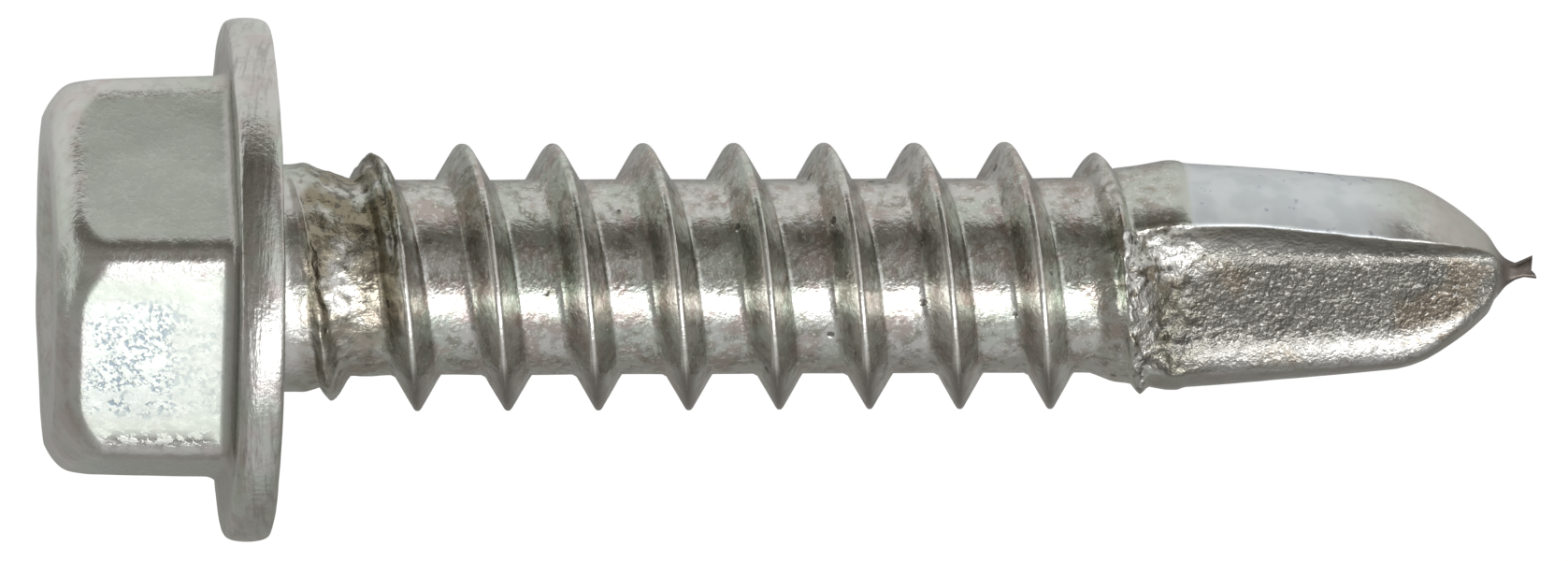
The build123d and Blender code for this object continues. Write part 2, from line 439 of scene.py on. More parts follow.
head = {
    "height": 4.45,
    "apothem": 3.875,
    "draft": 0.0244,
    "cornerAngle": -24.5,
    "cornerBlend": 0.38,
    "flatTilts": (-1.0, -0.5, -0.5, 0.0, 0.8, -1.5),  # degrees, round from the corner angle
    "flatCrowns": (0.035, 0.02, 0.0, 0.01, 0.0, -0.03),  # how far a flat's middle stands out
    "footRounding": 0.3,
    "rimThickness": 0.88,
    "flangeRadius": 5.23,
    "rimCrown": 0.2,
    "flatDepth": 0.54,  # how far down the top's rounding reaches on a flat, and at a corner
    "cornerDepth": 1.1,
    "flatInset": 0.5,
    "cornerInset": 0.8,
    "cornerWidth": 8.4,
    "edgeDrop": 0.03,
    "dishRadius": 2.5,
    "dishDepth": 0.3,
    "dishWall": (0.72, 1.04),  # shares of the dish's radius between which its wall rises
    "hexShift": 0.05,  # forged off centre, towards shiftAngle
    "flangeShift": -0.03,
    "shiftAngle": -110.0,
    "nickAngle": 167.0,  # a nick knocked into the top's edge
    "nickDepth": 0.2,
    "nickWidth": 6.0,
    "columnCrowding": 2.5,
    "crowdingWidth": 6.0,
}


def cornerOffset(angle):
    # degrees from the nearest corner of the hexagon, from -30 to 30
    return (angle - head["cornerAngle"] + 30.0) % 60.0 - 30.0


def hexagonRadius(angle, apothem):
    # the nearest of six flats, each (apothem + crown * cos(3 turn)) / cos(turn) at that turn from
    # its own middle, eased over the corners; a flat that is tilted turns about its middle
    radius = np.full(angle.shape, 9.0)  # outside every flat
    for number, (tilt, crown) in enumerate(zip(head["flatTilts"], head["flatCrowns"])):
        fromFlat = turnFrom(angle, head["cornerAngle"] + 30.0 + 60.0 * number)
        turn = np.radians(np.clip(fromFlat, -70.0, 70.0))  # beyond that the next flat is nearer
        lean = math.radians(tilt)
        flat = (apothem + crown * np.cos(3.0 * turn)) * math.cos(lean)
        flat = flat / np.cos(turn - lean)
        radius = softMin(radius, flat, head["cornerBlend"])
    return radius


def headAngles():
    # columns crowd towards the corners: density 1 + crowding * bell, summed up and inverted
    fine = np.linspace(startRingAngle[0], startRingAngle[0] + 360.0, 7201)
    crowd = bell(cornerOffset(fine), 0.0, head["crowdingWidth"])
    density = 1.0 + head["columnCrowding"] * crowd
    summed = np.concatenate([[0.0], np.cumsum((density[1:] + density[:-1]) / 2)])
    return np.interp(np.arange(ringColumns), summed / summed[-1] * ringColumns, fine)


hexAngles = headAngles()


def headRows():
    # profile rows from the middle of the dish down the hexagon and round the flange to the neck:
    # each is a station, a radius and an angle for every column, and how far it is shifted
    rows = []
    top = -head["height"]
    thickness = head["rimThickness"]
    rounding = head["footRounding"]
    corner = bell(cornerOffset(hexAngles), 0.0, head["cornerWidth"])
    reach = head["flatDepth"] + (head["cornerDepth"] - head["flatDepth"]) * corner
    inset = head["flatInset"] + (head["cornerInset"] - head["flatInset"]) * corner
    nick = bellRound(hexAngles, head["nickAngle"], head["nickWidth"])
    drop = head["edgeDrop"] + head["nickDepth"] * nick

    def hexAt(depth):
        # the drafted hexagon less inset * (1 - depth / reach)^2 near the top
        above = head["height"] - thickness - depth
        shape = hexagonRadius(hexAngles, head["apothem"] - above * head["draft"])
        return shape - inset * np.clip(1.0 - depth / reach, 0.0, 1.0) ** 2

    def addRow(*numbers):
        # one row: its four numbers, each spread over every column
        rows.append(np.stack(np.broadcast_arrays(*numbers)))

    edge = hexAt(np.zeros(ringColumns))
    dish = head["dishRadius"]
    hexShift = head["hexShift"]
    for share in np.linspace(0.08, 1.0, 12):
        depth = head["dishDepth"] * (1 - smoothStep(*head["dishWall"], share))
        addRow(top + depth, dish * share, hexAngles, hexShift)
    for share in (0.3, 0.6, 0.85, 0.95):
        addRow(top + drop * share**4, dish + (edge - dish) * share, hexAngles, hexShift)
    for share in np.linspace(0.0, 1.0, 14):
        station = top + reach * share + drop * (1 - share) ** 4
        addRow(station, hexAt(reach * share), hexAngles, hexShift)
    foot = -thickness - rounding
    for share in np.linspace(0.0, 1.0, 17)[1:]:
        station = top + reach + (foot - top - reach) * share
        addRow(station, hexAt(station - top), hexAngles, hexShift)
    footRadius = hexAt(np.full(ringColumns, foot - top))
    for turn in np.radians(np.linspace(0.0, 90.0, 8)[1:]):
        out = rounding * (1 - math.cos(turn))
        addRow(foot + rounding * math.sin(turn), footRadius + out, hexAngles, hexShift)
    rim = head["flangeRadius"] - head["rimCrown"]
    start = footRadius + rounding
    for share in np.linspace(0.0, 1.0, 6)[1:]:
        angle = hexAngles * (1 - share) + startRingAngle * share
        shift = hexShift * (1 - share) + head["flangeShift"] * share
        addRow(-thickness, start + (rim - start) * share, angle, shift)
    half = thickness / 2
    for turn in np.linspace(-1.0, 1.0, 17)[1:]:
        crown = head["rimCrown"] * (1 - turn**2) ** 0.75
        station = half * (math.sin(math.pi / 2 * turn) - 1)
        addRow(station, rim + crown, startRingAngle, head["flangeShift"])
    inner = stem["profileRadii"][0] + stem["underheadRounding"]
    for share in np.linspace(0.0, 1.0, 12)[1:-1]:
        shift = head["flangeShift"] * (1 - share)
        addRow(0.0, rim + (inner - rim) * share, startRingAngle, shift)
    return np.stack(rows, axis=1)


headStation, headRadius, headAngle, headShift = headRows()
print("head grid:", headStation.shape[0], "rows by", ringColumns, "columns")


# The whole surface: every block of rows becomes places (station, x, y), in one list

def placeStem(station, angle):
    # the stem's section, each point with its station before it
    x, y, cutDepth = stemSection(station, angle)
    return np.stack([station, x, y], axis=-1), cutDepth


neckPlace, neckCut = placeStem(neckStation, neckAngle)
stripPlace, stripCut = placeStem(stripStation, stripAngle)
collarPlace, collarCut = placeStem(collarStation, collarAngle)
drillPlace, drillCut = placeStem(drillStation, drillAngle)

# The point turns into the flash over its last half millimetre
flashX, flashY = flashSection(drillStation, drillAngle)
flashShare = smoothStep(fishtail["blendStart"], fishtail["start"], drillStation)
drillPlace[..., 1] += (flashX - drillPlace[..., 1]) * flashShare
drillPlace[..., 2] += (flashY - drillPlace[..., 2]) * flashShare
flashX, flashY = flashSection(flashStation, flashAngle)
flashCosine = np.cos(np.radians(flashAngle - fishtail["angle"]))
fork = fishtail["notch"] * (1 - np.abs(flashCosine) ** fishtail["alongPower"])
fork = fork + fishtail["upperCut"] * (flashCosine > 0)
fork = fork * np.linspace(0.0, 1.0, fishtail["rows"])[:, None] ** fishtail["cutCurve"]
flashPlace = np.stack([flashStation - fork, flashX, flashY], axis=-1)

headTurn = np.radians(headAngle)
shiftTurn = math.radians(head["shiftAngle"])
headX = headRadius * np.cos(headTurn) + headShift * math.cos(shiftTurn)
headY = headRadius * np.sin(headTurn) + headShift * math.sin(shiftTurn)
headPlace = np.stack([headStation, headX, headY], axis=-1)

blocks = [headPlace, neckPlace, stripPlace, collarPlace, drillPlace, flashPlace]
cuts = [headStation * 0, neckCut, stripCut, collarCut, drillCut, flashStation * 0]
angles = [headAngle, neckAngle, stripAngle, collarAngle, drillAngle, flashAngle]
blockStarts = np.cumsum([0] + [cut.size for cut in cuts])
headPole = [headPlace[0, 0, 0], 0.0, 0.0]
tipPole = flashPlace[-1].mean(axis=0) - np.array([fishtail["endDent"], 0.0, 0.0])
poles = np.array([headPole, tipPole])
places = np.concatenate([block.reshape(-1, 3) for block in blocks] + [poles])
cutDepth = np.concatenate([cut.reshape(-1) for cut in cuts] + [np.zeros(2)])
aroundAngle = np.concatenate([angle.reshape(-1) for angle in angles] + [np.zeros(2)])


def ringRows(block):
    # vertex numbers of a block of closed rings
    count = len(blocks[block])
    return blockStarts[block] + np.arange(count * ringColumns).reshape(count, ringColumns)


def closed(*rows):
    # rows of rings under each other, each with its first vertex again at its end
    index = np.concatenate(rows)
    return np.concatenate([index, index[:, :1]], axis=1)


stripStart = blockStarts[2]
headRings = closed(ringRows(0), ringRows(1), (startLoop + stripStart)[None, :])
pointRings = closed((endLoop + stripStart)[None, :], ringRows(3), ringRows(4), ringRows(5))
stripQuads = quadsBetween(stripIndex) + stripStart
quads = np.concatenate([quadsBetween(headRings), stripQuads, quadsBetween(pointRings)])
pole = np.full(ringColumns, blockStarts[-1])
headFan = np.stack([pole, headRings[0, 1:], headRings[0, :-1]], axis=-1)
tipFan = np.stack([pole + 1, pointRings[-1, :-1], pointRings[-1, 1:]], axis=-1)
print("screw surface:", len(places), "vertices,", 2 * len(quads) + 2 * ringColumns, "triangles")


# Wear of the surface: torn metal, a rough flute floor, dents

wear = {
    "tornThread": 0.065,  # how far the torn metal of the first turns stands up and sinks
    "tornFlute": 0.09,
    "tornSize": 0.42,
    "firstTurnsSide": (-62.0, 75.0),  # the angle where they are torn most, and its width
    "firstTurnsLeast": 0.25,  # how torn they are elsewhere
    "lastTurnPlace": (16.75, 0.45),  # the torn spot on the last turn: its station and angle
    "lastTurnSide": (-25.0, 45.0),
    "lastTurnShare": 0.45,
    "floorWaves": 0.014,
    "floorSize": 0.3,
    "dents": 0.008,  # over the shank and the head
    "dentSize": 0.9,
}

# Where each finish, painted highlight and painted shade lies: two numbers are where it starts and
# is full, two more where it fades and ends.  They are stations unless they are named otherwise.
spans = {
    "firstTurns": (0.4, 0.75, 2.3, 2.75),
    "fluteDepths": (0.015, 0.07),
    "fluteEnd": (19.2, 17.9),
    "lipAcross": (0.32, 0.5),  # shares of the radius
    "lipStart": (17.9, 18.5),
    "lipFull": (20.3, 22.0),  # it is half as strong before these
    "wallAcross": (-0.33, -0.5),
    "chipAcross": (-0.3, -0.6),
    "chipStart": (17.75, 17.45),
    "dents": (24.9, 24.0),
    "hexagonRadii": (3.0, 4.6),
    "flat": (-3.95, -3.75, -1.1, -0.95),
    "flatCorners": (4.0, 7.0),  # degrees from a corner
    "pitShares": (1.0, 0.5, 0.25, 0.6, 0.35, 0.06),  # how scuffed each flat is
    "scuffCorners": (10.0, 15.0),
    "scuffs": (-1.9, -2.5),
    "scuffLeast": 0.35,
    "pitRow": (-3.5, -3.3, -1.4, -1.2),
    "pitRowSide": (30.3, 1.6),  # the angle of its middle, and its width
    "land": (18.3, 18.4, 21.6, 23.0),
    "landAngles": (-125.0, -105.0),
    "crestEnd": 17.5,
    "crestHeights": (0.35, 0.68),
    # crestAngles: the side, where the light falls, on which the crests are painted lighter:
    # burnished metal with a painted highlight
    "crestAngles": (-50.0, -32.0, 18.0, 34.0),
    # spikeAngles: the side turned from the light, on which the crests are darkened as painted
    # shade
    "spikeAngles": (18.0, 30.0, 110.0, 130.0),
    "keel": (17.3, 17.8),
    "keelSide": (58.0, 14.0),
    "collar": (16.9, 17.2, 18.3, 18.5),
    "nose": (22.7, 23.7),
    "flash": (24.3, 24.9),
    "rimRadii": (4.85, 4.95),
    # footPlace and footRadii: the crease where the hexagon's foot meets the flange, darkened as
    # painted shadow
    "footPlace": (-0.93, 0.1),
    "footRadii": (4.9, 4.6),
    "shank": (0.3, 1.0, 17.9, 18.3),
}


def finish(name, value):
    # eased up over the finish's first two numbers, and down again over two more if it has them
    span = spans[name]
    return plateau(value, span) if len(span) == 4 else smoothStep(*span, value)


def surfaceNormals():
    # the cross product of each face's diagonals, added up at its corners
    corners = places[quads]
    cross = np.cross(corners[:, 2] - corners[:, 0], corners[:, 3] - corners[:, 1])
    total = np.zeros_like(places)
    for corner in range(4):
        np.add.at(total, quads[:, corner], cross)
    return total / np.maximum(np.linalg.norm(total, axis=1, keepdims=True), 1e-9)


station = places[:, 0]
radius = np.hypot(places[:, 1], places[:, 2])
inStem = np.arange(len(places)) >= blockStarts[1]
inFlute = finish("fluteDepths", cutDepth) * inStem
across = np.sign(places[:, 1]) * places[:, 2]
acrossShare = across / baseRadius(station)
lip = finish("lipAcross", acrossShare) * finish("lipStart", station) * inFlute
least = wear["firstTurnsLeast"]
firstTurns = least + (1 - least) * bellRound(aroundAngle, *wear["firstTurnsSide"])
firstTurns = finish("firstTurns", station) * inStem * firstTurns
lastTurn = bellRound(aroundAngle, *wear["lastTurnSide"]) * inStem
lastTurn = wear["lastTurnShare"] * bell(station, *wear["lastTurnPlace"]) * lastTurn
tornTurns = firstTurns + lastTurn
fluteEnd = inFlute * finish("fluteEnd", station)
torn = np.clip(tornTurns + fluteEnd, 0.0, 1.0)
rough = fractalNoise(places, wear["tornSize"], 11)
ridges = 1.0 - 2.0 * np.abs(fractalNoise(places, wear["tornSize"] * 0.8, 21))
tornLift = (0.5 * rough + 0.5 * ridges) * wear["tornThread"] * tornTurns
tornLift = tornLift + (0.4 * rough + 0.6 * ridges) * wear["tornFlute"] * fluteEnd
floorLift = fractalNoise(places, wear["floorSize"], 31) * wear["floorWaves"]
floorLift = floorLift * inFlute * (1 - 0.75 * lip)
chip = np.maximum(finish("chipAcross", across), 0.6 * finish("chipStart", station)) * fluteEnd
dentLift = fractalNoise(places, wear["dentSize"], 41, 2) * wear["dents"]
dentLift = dentLift * finish("dents", station) * (1 - inFlute)
normals = surfaceNormals()
places = places + normals * (tornLift + floorLift + dentLift)[:, None]

# What the finish, the painted highlights and the painted shade follow, one number for each vertex
fromCorner = np.abs(cornerOffset(aroundAngle))
innermost, outermost = spans["hexagonRadii"]
inHexagon = ~inStem & (radius > innermost) & (radius < outermost)
flatShare = finish("flat", station) * finish("flatCorners", fromCorner) * inHexagon
flatNumber = np.floor((aroundAngle - head["cornerAngle"]) % 360.0 / 60.0).astype(int)
pitShare = np.array(spans["pitShares"])[flatNumber]
least = spans["scuffLeast"]
scuffShare = finish("scuffCorners", fromCorner) * (least + (1 - least) * finish("scuffs", station))
pitRowShare = bellRound(aroundAngle, *spans["pitRowSide"]) * inHexagon
outside = (1 - inFlute) * inStem
landAngle = aroundAngle % 180.0 - 180.0
crestEnd = spans["crestEnd"]
crestHeight = ridgeHeight(np.clip(station, 0.0, crestEnd), aroundAngle)
crestShare = finish("crestHeights", crestHeight * inStem * (station < crestEnd))
crestAngle = turnFrom(aroundAngle, 0.0)
keelAngle, keelWidth = spans["keelSide"]
keelShare = bell((aroundAngle - keelAngle + 90.0) % 180.0, 90.0, keelWidth)
attributes = {
    "torn": torn,
    "flute": inFlute,
    # lip: the floor's rounded lip, smoother, and carrying a painted highlight
    "lip": lip * (0.5 + 0.5 * finish("lipFull", station)),
    "wall": finish("wallAcross", acrossShare) * inFlute,
    "chip": chip,
    "land": finish("land", station) * finish("landAngles", landAngle) * outside,
    "flat": flatShare,
    "pitted": flatShare * pitShare * scuffShare,
    "pitRow": pitRowShare * finish("pitRow", station),
    # crest: the crests' burnished metal, with a painted highlight on the side where the light
    # falls
    "crest": crestShare * finish("crestAngles", crestAngle),
    # spike: painted shade on the crests turned from the light
    "spike": crestShare * finish("spikeAngles", crestAngle),
    "keel": keelShare * finish("keel", station) * outside,
    "collar": finish("collar", station) * outside,
    "nose": finish("nose", station) * outside,
    "flash": finish("flash", station),
    "rim": finish("rimRadii", radius) * ~inStem,
    # foot: painted shadow in the crease between the hexagon and the flange
    "foot": bell(station, *spans["footPlace"]) * finish("footRadii", radius) * ~inStem,
    "shank": finish("shank", station) * inStem,
}


# The mesh, laid down where the record has the bearing face

def addObject(name, data):
    # an object in the scene's own collection
    item = bpy.data.objects.new(name, data)
    bpy.context.scene.collection.objects.link(item)
    return item


face = frame["record"]["mounts"][0]
origin = np.array(face["pos_m"])
axis = np.array(face["axis"]) / np.linalg.norm(face["axis"])
up = np.array([-axis[2], 0.0, axis[0]])
side = np.cross(axis, up)
laid = origin + (places[:, :1] * axis + places[:, 1:2] * up + places[:, 2:3] * side) * 0.001
faces = [tuple(corners) for corners in quads.tolist() + headFan.tolist() + tipFan.tolist()]
screwMesh = bpy.data.meshes.new("screw_body")
screwMesh.from_pydata(laid.tolist(), [], faces)
screwMesh.shade_smooth()
for name, values in attributes.items():
    layer = screwMesh.attributes.new(name, "FLOAT", "POINT")
    layer.data.foreach_set("value", np.ascontiguousarray(values, dtype=np.float32))
screwBody = addObject("screw_body", screwMesh)
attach(screwBody, "root")
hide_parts("screw")
print("screw mesh made")


# Shader helpers

class Wire:
    # an output socket: sums and products on it, or with it, add Math nodes to its tree
    def __init__(self, nodes, socket):
        self.nodes = nodes
        self.socket = socket

    def maths(self, operation, *values, clamp=False):
        settings = {"operation": operation, "use_clamp": clamp}
        return self.nodes.add("Math", settings, dict(enumerate(values)))

    def __add__(self, other):
        return self.maths("ADD", self, other)

    def __radd__(self, other):
        return self.maths("ADD", other, self)

    def __sub__(self, other):
        return self.maths("SUBTRACT", self, other)

    def __rsub__(self, other):
        return self.maths("SUBTRACT", other, self)

    def __mul__(self, other):
        return self.maths("MULTIPLY", self, other)

    def __rmul__(self, other):
        return self.maths("MULTIPLY", other, self)

    def clamped(self):
        return self.maths("ADD", self, 0.0, clamp=True)


class NodeTree:
    # the nodes of a material or a world, made by one method
    def __init__(self, owner):
        owner.use_nodes = True
        self.tree = owner.node_tree
        self.tree.nodes.clear()

    def add(self, kind, settings=None, sockets=None, output=0):
        # a node with its settings first, then its sockets by name or number: wires are linked and
        # values are set; it gives the wire of one output
        node = self.tree.nodes.new("ShaderNode" + kind)
        for name, value in (settings or {}).items():
            if name == "stops":
                self.fillRamp(node.color_ramp, value)
            else:
                setattr(node, name, value)
        for name, value in (sockets or {}).items():
            if isinstance(value, Wire):
                self.tree.links.new(value.socket, node.inputs[name])
            else:
                node.inputs[name].default_value = value
        return Wire(self, node.outputs[output]) if len(node.outputs) else node

    def fillRamp(self, ramp, stops):
        # the first and last stops are the ramp's own two, and the others are added between them
        ramp.elements[0].position = stops[0][0]
        ramp.elements[-1].position = stops[-1][0]
        for place, _ in stops[1:-1]:
            ramp.elements.new(place)
        for element, (_, colour) in zip(ramp.elements, stops):
            element.color = (*colour, 1.0)

    def between(self, low, high, value):
        # 0 below low, 1 above high, eased between them
        sockets = {"Value": value, "From Min": low, "From Max": high}
        return self.add("MapRange", {"interpolation_type": "SMOOTHSTEP"}, sockets)

    def mix(self, share, first, second):
        # one colour turning into another
        sockets = {0: share, 6: first, 7: second}
        return self.add("Mix", {"data_type": "RGBA"}, sockets, 2)

    def layered(self, form, under, *layers):
        # each colour laid over the ones before it, by its share; a name is one of the form's
        colour = form.get(under, under)
        for share, over in layers:
            colour = self.mix(share, colour, form.get(over, over))
        return colour

    def noise(self, place, size, detail=2.0, roughness=0.5):
        # noise whose grains are about size millimetres
        scale = 1000.0 / size
        sockets = {"Vector": place, "Scale": scale, "Detail": detail, "Roughness": roughness}
        return self.add("TexNoise", None, sockets)

    def attribute(self, name):
        # the mesh's number of that name
        return self.add("Attribute", {"attribute_name": name}, None, "Fac")


# Zinc plated steel

zinc = {
    "grey": (0.65, 0.645, 0.62, 1.0),
    "greenish": (0.58, 0.62, 0.56, 1.0),
    "pinkish": (0.58, 0.51, 0.49, 1.0),
    "bluish": (0.88, 0.93, 0.95, 1.0),
    "landGrey": (0.78, 0.83, 0.86, 1.0),
    "landSpot": (0.50, 0.54, 0.63, 1.0),
    "scuffed": (0.26, 0.33, 0.39, 1.0),
    "drab": (0.34, 0.345, 0.27, 1.0),
    "brown": (0.44, 0.36, 0.32, 1.0),
    "olive": (0.32, 0.29, 0.21, 1.0),
    "floor": (0.20, 0.195, 0.175, 1.0),
    "rust": (0.235, 0.20, 0.16, 1.0),
    # the lip's colour is lighter than the floor's as a painted highlight along its rounding
    "lip": (0.46, 0.455, 0.44, 1.0),
    "wall": (0.38, 0.375, 0.35, 1.0),
    "chip": (0.86, 0.86, 0.83, 1.0),
    # stain: the colour of real stains, and also of painted shade on the hexagon's foot and on the
    # crests turned from the light
    "stain": (0.28, 0.26, 0.24, 1.0),
    "noseBrown": (0.50, 0.48, 0.43, 1.0),
    "flashBrown": (0.19, 0.165, 0.15, 1.0),
    "soot": (0.12, 0.11, 0.10, 1.0),
    # bright is also the colour of the crests' painted highlight
    "bright": (0.80, 0.79, 0.75, 1.0),
    "roughness": 0.22,
    "matteRoughness": 0.5,
    "landMetallic": 0.6,
    "patchSize": 1.6,  # the grain of each noise, in millimetres
    "tintSize": 0.7,
    "blotchSize": 0.45,
    "grainSize": 0.2,
    "speckSize": 0.1,
    "streakSize": 0.13,
    "streakShare": 0.12,  # streaks are this much flatter round the axis than along it
    "pitSpacing": 0.62,
    "grainHeight": 0.010,  # heights of the bumps, in millimetres
    "speckHeight": 0.004,
    "floorHeight": 0.02,
    "lipFall": 0.012,  # the floor's bumps are this much lower at its lip
    "tornHeight": 0.022,
    "chipFall": 0.004,
    "streakHeight": 0.02,
    "pitDepth": 0.02,
    "scuffDepth": 0.003,
    "rowPitDepth": 0.01,
}


def makeZinc():
    # grey metal, mottled by grains, with tints in soft patches; the lands are matte and bluish,
    # the flutes' floors dark, the torn turns olive and the pits black; painted highlights lighten
    # the lips and the crests where the light falls, and painted shade darkens the other crests and
    # the hexagon's foot
    material = bpy.data.materials.new("zinc_plated_steel")
    nodes = NodeTree(material)
    place = nodes.add("TexCoord", None, None, "Object")
    marks = [nodes.attribute(name) for name in attributes]
    torn, flute, lip, wall, chip, land, flat, pitted, pitRow = marks[:9]
    crest, spike, keel, collar, nose, flash, rim, foot, shank = marks[9:]

    patches = nodes.noise(place, zinc["patchSize"])
    tints = nodes.noise(place, zinc["tintSize"])
    grains = nodes.noise(place, zinc["grainSize"], 3.0, 0.6)
    specks = nodes.noise(place, zinc["speckSize"], 2.0, 0.6)
    blotches = nodes.noise(place, zinc["blotchSize"], 3.0, 0.6)

    # sparse pits: small rounds in a fifth of the cells
    cells = {"Vector": place, "Scale": 1000.0 / zinc["pitSpacing"]}
    pitDistance = nodes.add("TexVoronoi", None, cells, "Distance")
    pitColour = nodes.add("TexVoronoi", None, cells, "Color")
    pitChance = nodes.add("SeparateColor", None, {"Color": pitColour}, "Red")
    pits = nodes.between(0.17, 0.09, pitDistance) * nodes.between(0.80, 0.82, pitChance) * shank
    scuffs = nodes.between(0.46, 0.62, specks) * nodes.between(0.40, 0.54, blotches) * pitted
    rowPits = nodes.between(0.45, 0.6, grains) * pitRow
    smooth = (land + flat + collar * 0.7).clamped()

    # streaks round the rim, left by its dies
    flattened = {0: place, 1: (1.0, zinc["streakShare"], zinc["streakShare"])}
    stretched = nodes.add("VectorMath", {"operation": "MULTIPLY"}, flattened)
    streaks = nodes.noise(stretched, zinc["streakSize"], 3.0, 0.6)

    landColour = nodes.layered(
        zinc,
        "bluish",
        (nodes.between(0.4, 0.6, tints), "landGrey"),
        (nodes.between(0.61, 0.66, blotches) * 0.8, "landSpot"),
    )
    floorColour = nodes.layered(
        zinc,
        "floor",
        (nodes.between(0.52, 0.64, patches), "rust"),
        (nodes.between(0.58, 0.68, specks) * 0.7, "bright"),
        (wall, "wall"),
        # the lip painted lighter than the floor: a painted highlight
        (lip * nodes.between(0.68, 0.45, grains), "lip"),
    )
    stain = nodes.between(0.48, 0.60, blotches) * nodes.between(0.35, 0.6, grains)
    dark = torn * nodes.between(0.54, 0.64, grains) * 0.75
    colour = nodes.layered(
        zinc,
        "grey",
        (nodes.between(0.42, 0.62, patches), "greenish"),
        (nodes.between(0.50, 0.64, tints) * 0.6, "pinkish"),
        (flat * 0.85 + collar * 0.8, "greenish"),
        (pitted * 0.25, "bluish"),
        (stain * (0.2 + shank * 0.6) * (1.0 - smooth), "stain"),
        (nodes.between(0.5, 0.6, tints) * shank * 0.5, "brown"),
        (nodes.between(0.5, 0.6, grains) * shank * 0.5, "drab"),
        (nodes.between(0.54, 0.64, specks) * shank * 0.7, "bright"),
        (nodes.between(0.48, 0.66, streaks) * rim * 0.4, "stain"),
        # painted shadow in the crease where the hexagon meets the flange
        (foot * 0.6, "stain"),
        (land, landColour),
        (nose * 0.6, "noseBrown"),
        (flash, "flashBrown"),
        (flute * 0.95, floorColour),
        (torn * nodes.between(0.36, 0.54, tints) * (1.0 - flute * 0.6), "olive"),
        (chip * nodes.between(0.40, 0.48, blotches) * 0.9, "chip"),
        # the crests painted lighter on the side where the light falls: burnished metal and a
        # painted highlight
        (crest * 0.6, "bright"),
        # painted shade on the crests turned from the light, and the keel darkened in the same
        # colour
        (spike * 0.9 + keel * 0.65, "stain"),
        (scuffs * 0.85, "scuffed"),
        ((dark + pits * 0.8 + rowPits * 0.7).clamped(), "soot"),
    )

    matte = (land + nose * 0.6 + (1.0 - lip * 0.6) * flute * 0.35).clamped()
    rough = zinc["roughness"] + matte * (zinc["matteRoughness"] - zinc["roughness"])
    rough = rough + (grains - 0.5) * 0.25 + flat * 0.06
    metallic = 1.0 - land * (1.0 - zinc["landMetallic"])

    # each noise less its middle, times its height; the pits go in
    grain, speck = grains - 0.5, specks - 0.5
    height = grain * zinc["grainHeight"] + speck * zinc["speckHeight"]
    height = height * (1.0 - smooth * 0.75)
    height = height + speck * flute * (zinc["floorHeight"] - lip * zinc["lipFall"])
    height = height + grain * torn * (zinc["tornHeight"] - chip * zinc["chipFall"])
    height = height + (streaks - 0.5) * rim * zinc["streakHeight"]
    height = height - pits * zinc["pitDepth"] - scuffs * zinc["scuffDepth"]
    height = height - rowPits * zinc["rowPitDepth"]
    bumped = nodes.add("Bump", None, {"Height": height, "Distance": 0.001})
    sockets = {"Base Color": colour, "Metallic": metallic, "Roughness": rough, "Normal": bumped}
    shader = nodes.add("BsdfPrincipled", None, sockets)
    nodes.add("OutputMaterial", None, {"Surface": shader})
    return material


screwMesh.materials.append(makeZinc())
print("zinc made")


# Studio: a white floor, two soft lamps and a grey room

studio = {
    "floorSize": 2.0,
    "farPaper": (0.85, 0.85, 0.84, 1.0),  # the floor's paper on the +Y side, and its painted shade on the -Y side
    "paintedShadePaper": (0.36, 0.355, 0.335, 1.0),
    "paperTurn": 0.006,  # half the width of the change between them
    "floorWhite": 1.22,  # strength of the floor's own white
    "cameraShare": 0.8,  # how much of that white the camera sees
    # the floor's white that metal reflects is painted in unevenly: a painted reflection, brighter
    # on the +Y side and past the head
    "nearShare": 0.03,  # and how much metal does: on the -Y side, on the +Y side, past the head
    "farShare": 0.235,
    "endShare": 0.08,
    "endTurn": (-0.013, -0.015),
    "lamps": (  # place, size and power
        ((0.335, -0.072, 0.34), (0.58, 0.152), 0.92),
        ((0.035, -0.1975, 0.34), (0.07, 0.105), 0.034),
    ),
    # brightness of the room against the angle round X, from the +Y side over the top to -Y
    "roomSpan": 240.0,  # degrees that the ramps cover
    "room": (
        (-120, 0.6), (-97, 0.5), (-90, 0.38), (-82, 0.2), (-72, 0.13), (-60, 0.15),
        (-52, 0.2), (-44, 0.26), (-36, 0.32), (-29, 0.28), (-22, 0.2), (-13, 0.22),
        (-4, 0.45), (5, 0.9), (20, 0.75), (28, 0.5), (38, 0.5), (46, 0.56), (56, 0.6),
        (68, 0.6), (80, 0.5), (95, 0.4), (120, 0.4),
    ),
    # and the same towards -X and towards +X
    "left": (
        (-120, 0.6), (-97, 0.5), (-90, 0.38), (-82, 0.2), (-72, 0.13), (-60, 0.13),
        (-44, 0.2), (-24, 0.27), (-4, 0.28), (5, 0.36), (56, 0.38), (80, 0.3), (120, 0.33),
    ),
    "right": (
        (-120, 0.6), (-97, 0.5), (-90, 0.4), (-75, 0.25), (-65, 0.32), (-55, 0.6), (-40, 0.9),
        (0, 1.0), (36, 1.0), (50, 0.7), (62, 0.45), (80, 0.4), (120, 0.35),
    ),
    "leftEnd": (0.85, 0.85, 0.85, 1.0),  # a round patch straight towards -X
    "leftTurn": (-0.02, 0.3),  # how far towards -X or +X each of them starts and is full
    "leftEndTurn": (0.93, 0.985),
    "rightTurn": (0.1, 0.7),
    "warmLevels": (0.5, 0.15),  # darker than the first the room is warmer, and most at the second
    "warmth": (0.06, -0.12),  # how much red is added then, and blue
}


